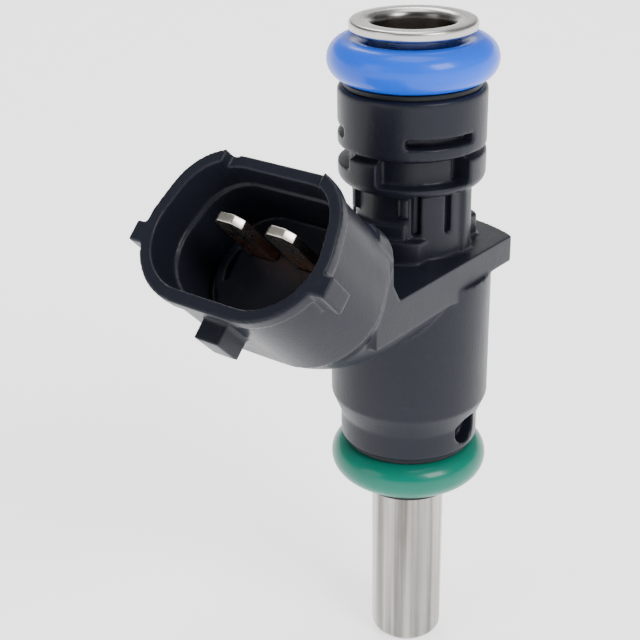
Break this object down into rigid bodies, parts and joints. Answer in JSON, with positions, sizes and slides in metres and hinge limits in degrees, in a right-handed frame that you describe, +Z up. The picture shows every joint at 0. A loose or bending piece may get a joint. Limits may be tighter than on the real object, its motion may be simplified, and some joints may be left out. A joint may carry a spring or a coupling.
{
  "type": "fuel injector",
  "caption": "Port fuel injector: a solenoid valve in a moulded body with an angled two-pin socket, a long metal nose and a sealing ring at each end.",
  "frame": {"origin": "on the injector's axis, level with the outer face of the turned-in nozzle tip", "axes": "+Z up the injector's axis from the nozzle tip to the fuel inlet; the electrical connector points towards -X and up; Y is across the connector"},
  "size_m": [0.0354, 0.0192, 0.0617],
  "materials": {
    "overmold_plastic": "satin moulded glass-filled plastic, blue-black",
    "stainless_steel": "satin turned stainless steel",
    "nose_steel": "drawn stainless tube with fine lengthwise streaks",
    "blue_rubber": "smooth glossy fluoro rubber, blue",
    "green_rubber": "smooth glossy fluoro rubber, green",
    "support_plastic": "black moulded plastic",
    "filter_brass": "turned brass",
    "filter_plastic": "natural moulded nylon",
    "filter_mesh_wire": "fine woven mesh",
    "tinned_terminal": "tinned copper alloy, bright, coppery near its foot",
    "bobbin_plastic": "natural moulded plastic",
    "copper_wire": "enamelled copper wire",
    "magnet_steel": "turned soft-magnetic steel",
    "spring_steel": "drawn spring wire",
    "ball_steel": "polished hardened steel"
  },
  "bodies": {
    "injector_body": {"body_overmold": "overmold_plastic", "inlet_tube": "stainless_steel", "upper_o_ring": "blue_rubber", "upper_support_ring": "support_plastic", "filter_ring": "filter_brass", "filter_frame": "filter_plastic", "filter_mesh": "filter_mesh_wire", "terminal_left": "tinned_terminal", "terminal_right": "tinned_terminal", "coil_bobbin": "bobbin_plastic", "coil_winding": "copper_wire", "coil_leads": "copper_wire", "magnet_housing": "magnet_steel", "flux_cover": "magnet_steel", "valve_sleeve": "nose_steel", "stator_core": "magnet_steel", "adjusting_sleeve": "stainless_steel", "return_spring": "spring_steel", "valve_seat": "magnet_steel", "guide_ring": "stainless_steel", "orifice_plate": "stainless_steel", "lower_o_ring": "green_rubber", "lower_support_ring": "support_plastic", "seal_bush": "support_plastic"},
    "valve_needle": {"armature": "magnet_steel", "needle_tube": "stainless_steel", "valve_ball": "ball_steel"}
  },
  "joints": [
    {"name": "needle_lift", "type": "slide", "parent": "injector_body", "child": "valve_needle", "axis": [0, 0, 1], "range_m": [0, 0.0001], "stiffness_N_per_m": 2000, "springref_m": -0.001, "deforming": ["return_spring"]}
  ]
}
